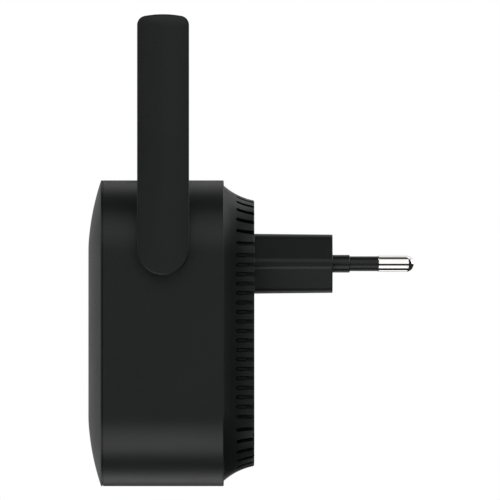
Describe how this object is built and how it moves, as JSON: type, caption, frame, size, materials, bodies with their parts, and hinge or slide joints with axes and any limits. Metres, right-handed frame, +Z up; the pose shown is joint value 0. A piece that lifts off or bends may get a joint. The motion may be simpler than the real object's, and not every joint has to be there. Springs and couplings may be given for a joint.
{
  "type": "wifi range extender",
  "caption": "Plug-in wireless range extender: rounded square black body with domed front, vent slots round the flared back, round-pin mains plug, and folding paddle antennas at the sides.",
  "frame": {"origin": "centre of the plug's engagement face, midway between the two pins", "axes": "+Y along the pins into the wall socket, +Z up, +X to the right seen from the front; the domed front faces -Y"},
  "size_m": [0.0878, 0.081, 0.1171],
  "materials": {
    "casing_black": "fine satin texture",
    "front_black": "fine satin texture",
    "antenna_black": "fine satin texture",
    "plug_black": "satin",
    "sleeve_black": "satin",
    "liner_grey": "matte",
    "clear_plastic": "frosted clear",
    "nickel_brass": "polished nickel plate",
    "brass_strip": "bare",
    "cable_grey": "smooth jacket",
    "board_green": "solder mask",
    "steel_screw": "zinc plated",
    "chip_black": "moulded epoxy",
    "tin_steel": "tinned",
    "thermal_rubber": "soft",
    "aluminium_plate": "satin",
    "led_white": "clear coated",
    "switch_black": "moulded",
    "switch_grey": "moulded",
    "ferrite": "sintered",
    "tape_yellow": "polyester tape",
    "capacitor_sleeve": "shrink sleeve",
    "fuse_ceramic": "glazed",
    "capacitor_blue": "dipped epoxy",
    "header_black": "moulded",
    "washer_white": "slippery polymer"
  },
  "bodies": {
    "casing": {"main_housing": "casing_black", "front_cover": "front_black", "light_pipes": "clear_plastic", "rear_cover": "casing_black", "vent_liner": "liner_grey", "plug_housing": "plug_black", "plug_pin_right": "nickel_brass", "plug_pin_left": "nickel_brass", "pin_sleeve_right": "sleeve_black", "pin_sleeve_left": "sleeve_black", "pin_contact_right": "brass_strip", "pin_contact_left": "brass_strip", "coax_lead_right": "cable_grey", "coax_lead_left": "cable_grey", "main_board": "board_green", "main_board_screws": "steel_screw", "wifi_chip": "chip_black", "shield_can": "tin_steel", "thermal_pad": "thermal_rubber", "heat_spreader": "aluminium_plate", "memory_chips": "chip_black", "crystal": "tin_steel", "status_leds": "led_white", "reset_switch_body": "switch_black", "power_board": "board_green", "power_board_screws": "steel_screw", "transformer_core": "ferrite", "transformer_winding": "tape_yellow", "bulk_capacitors": "capacitor_sleeve", "output_capacitor": "capacitor_sleeve", "bridge_rectifier": "chip_black", "fuse": "fuse_ceramic", "emi_choke": "ferrite", "safety_capacitor": "capacitor_blue", "power_controller": "chip_black", "board_header": "header_black", "case_screws": "steel_screw"},
    "antenna_right": {"antenna_right_outer_shell": "antenna_black", "antenna_right_pivot_shell": "antenna_black", "antenna_right_element": "board_green", "antenna_right_coax": "cable_grey", "antenna_right_washer": "washer_white", "antenna_right_clip": "steel_screw"},
    "antenna_left": {"antenna_left_outer_shell": "antenna_black", "antenna_left_pivot_shell": "antenna_black", "antenna_left_element": "board_green", "antenna_left_coax": "cable_grey", "antenna_left_washer": "washer_white", "antenna_left_clip": "steel_screw"},
    "reset_button": {"reset_switch_plunger": "switch_grey"}
  },
  "joints": [
    {"name": "antenna_right_fold", "type": "hinge", "parent": "casing", "child": "antenna_right", "pos_m": [0.038, -0.04215, 0.00356], "axis": [1, 0, 0], "range_deg": [0, 180]},
    {"name": "antenna_left_fold", "type": "hinge", "parent": "casing", "child": "antenna_left", "pos_m": [-0.038, -0.04215, 0.00356], "axis": [1, 0, 0], "range_deg": [0, 180]},
    {"name": "reset_press", "type": "slide", "parent": "casing", "child": "reset_button", "axis": [0, 0, 1], "range_m": [0, 0.00025], "stiffness_N_per_m": 1500}
  ]
}
